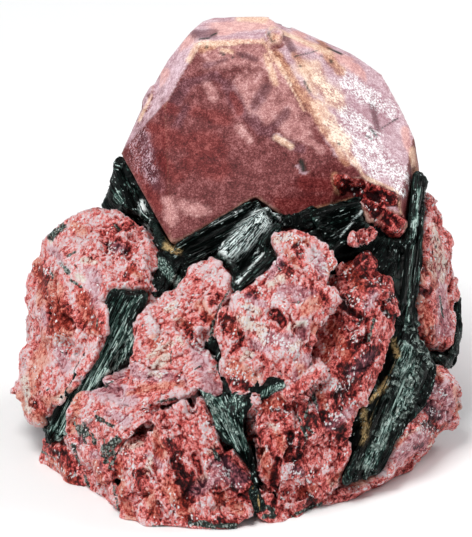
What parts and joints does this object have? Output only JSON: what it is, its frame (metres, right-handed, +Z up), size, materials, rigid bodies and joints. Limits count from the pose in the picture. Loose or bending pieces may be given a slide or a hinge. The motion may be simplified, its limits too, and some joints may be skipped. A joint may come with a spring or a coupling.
{
  "type": "eudialyte specimen",
  "caption": "Mineral specimen: a large blunt eudialyte crystal on a cluster of broken crystals bound by dark green aegirine, trimmed flat to stand.",
  "frame": {"origin": "centre of the bounding box's underside, on the flat cut base", "axes": "+Z up, -Y towards the displayed side, +X to that side's right"},
  "size_m": [0.0568, 0.0572, 0.0494],
  "materials": {
    "eudialyte_face": "satin crystal face, mauve to rose",
    "eudialyte_broken": "glassy broken crystal, raspberry to salmon",
    "aegirine": "silky fibrous, near-black green"
  },
  "bodies": {
    "root": {"main_crystal": "eudialyte_face", "left_crystal": "eudialyte_broken", "front_left_crystal": "eudialyte_broken", "left_foot_crystal": "eudialyte_broken", "lower_front_crystal": "eudialyte_broken", "centre_crystal": "eudialyte_broken", "right_front_crystal": "eudialyte_broken", "right_crystal": "eudialyte_broken", "lower_right_crystal": "eudialyte_broken", "back_left_crystal": "eudialyte_broken", "back_right_crystal": "eudialyte_broken", "back_foot_crystal": "eudialyte_broken", "aegirine": "aegirine"}
  },
  "joints": []
}
